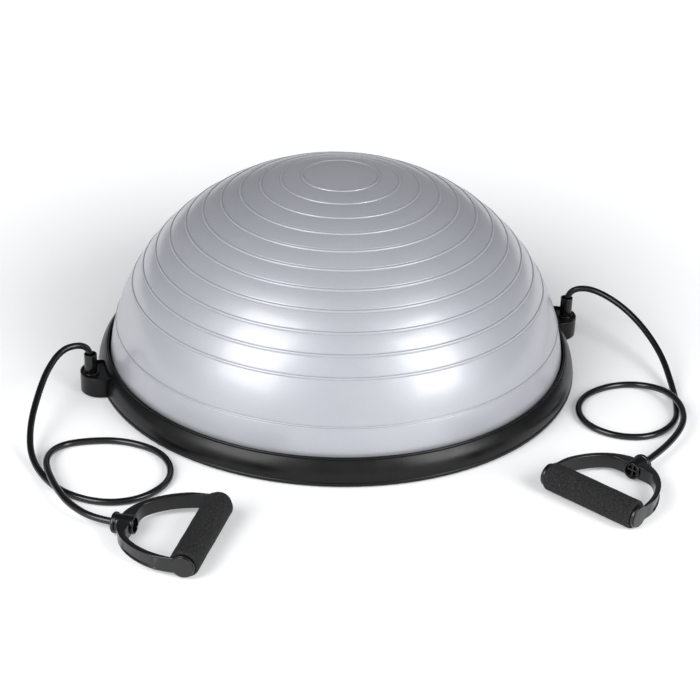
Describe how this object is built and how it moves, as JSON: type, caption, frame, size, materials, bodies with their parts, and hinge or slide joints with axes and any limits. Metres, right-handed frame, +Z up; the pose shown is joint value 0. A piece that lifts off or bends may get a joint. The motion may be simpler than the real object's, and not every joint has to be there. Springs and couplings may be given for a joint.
{
  "type": "balance dome trainer",
  "caption": "Inflated half-dome balance trainer on a flat round base, with a rubber tube band and padded D handle anchored at each side.",
  "frame": {"origin": "on the dome's vertical axis, on the floor that the rubber ring rests on", "axes": "+Z up along the dome's axis; +X through the right ear and -X through the left ear; both bands and handles lie on the -Y side"},
  "size_m": [0.8057, 0.7572, 0.258],
  "materials": {
    "dome_vinyl": "satin silver-grey PVC skin with moulded rib lines",
    "base_plastic": "satin black injection-moulded plastic",
    "pad_rubber": "matt black rubber",
    "seal_rubber": "soft dark rubber",
    "tube_rubber": "black latex tube, soft sheen",
    "fitting_plastic": "satin black plastic",
    "handle_plastic": "semi-gloss black plastic",
    "core_plastic": "plain black plastic tube",
    "grip_foam": "matt black closed-cell foam",
    "screw_steel": "zinc-plated steel",
    "valve_plastic": "off-white soft plastic"
  },
  "bodies": {
    "base": {"base_tray": "base_plastic", "anti_slip_ring": "pad_rubber", "rim_ring": "base_plastic", "rim_screws": "screw_steel", "ear_screws": "screw_steel", "left_ear": "base_plastic", "right_ear": "base_plastic", "dome_membrane": "dome_vinyl", "bladder_floor": "dome_vinyl", "flange_gasket": "seal_rubber", "valve_seat": "seal_rubber"},
    "valve_plug": {"valve_plug": "valve_plastic"},
    "left_band": {"left_anchor_plug": "fitting_plastic", "left_ferrule": "fitting_plastic", "left_anchor_stopper": "fitting_plastic", "left_tube": "tube_rubber", "left_tube_stopper": "fitting_plastic"},
    "left_handle": {"left_handle_yoke": "handle_plastic", "left_end_caps": "handle_plastic"},
    "left_grip": {"left_grip_core": "core_plastic", "left_foam_grip": "grip_foam"},
    "right_band": {"right_anchor_plug": "fitting_plastic", "right_ferrule": "fitting_plastic", "right_anchor_stopper": "fitting_plastic", "right_tube": "tube_rubber", "right_tube_stopper": "fitting_plastic"},
    "right_handle": {"right_handle_yoke": "handle_plastic", "right_end_caps": "handle_plastic"},
    "right_grip": {"right_grip_core": "core_plastic", "right_foam_grip": "grip_foam"}
  },
  "joints": [
    {"name": "valve_plug_pull", "type": "slide", "parent": "base", "child": "valve_plug", "axis": [0, 0, -1], "range_m": [0, 0.02]},
    {"name": "left_band_swivel", "type": "hinge", "parent": "base", "child": "left_band", "pos_m": [-0.3125, 0, 0.03], "axis": [0, 0, 1], "range_deg": [-75, 1]},
    {"name": "left_handle_swivel", "type": "hinge", "parent": "left_band", "child": "left_handle", "pos_m": [-0.33017, -0.31747, 0.01304], "axis": [-0.8467, 0.5291, -0.0558], "continuous": true},
    {"name": "left_grip_roll", "type": "hinge", "parent": "left_handle", "child": "left_grip", "pos_m": [-0.2565, -0.3635, 0.0179], "axis": [-0.5287, -0.8485, -0.0227], "continuous": true},
    {"name": "right_band_swivel", "type": "hinge", "parent": "base", "child": "right_band", "pos_m": [0.3125, 0, 0.03], "axis": [0, 0, 1], "range_deg": [-3, 75]},
    {"name": "right_handle_swivel", "type": "hinge", "parent": "right_band", "child": "right_handle", "pos_m": [0.25641, -0.35123, 0.01286], "axis": [0.8519, 0.522, -0.0419], "continuous": true},
    {"name": "right_grip_roll", "type": "hinge", "parent": "right_handle", "child": "right_grip", "pos_m": [0.1823, -0.39665, 0.0165], "axis": [-0.5225, 0.8526, 0], "continuous": true}
  ]
}
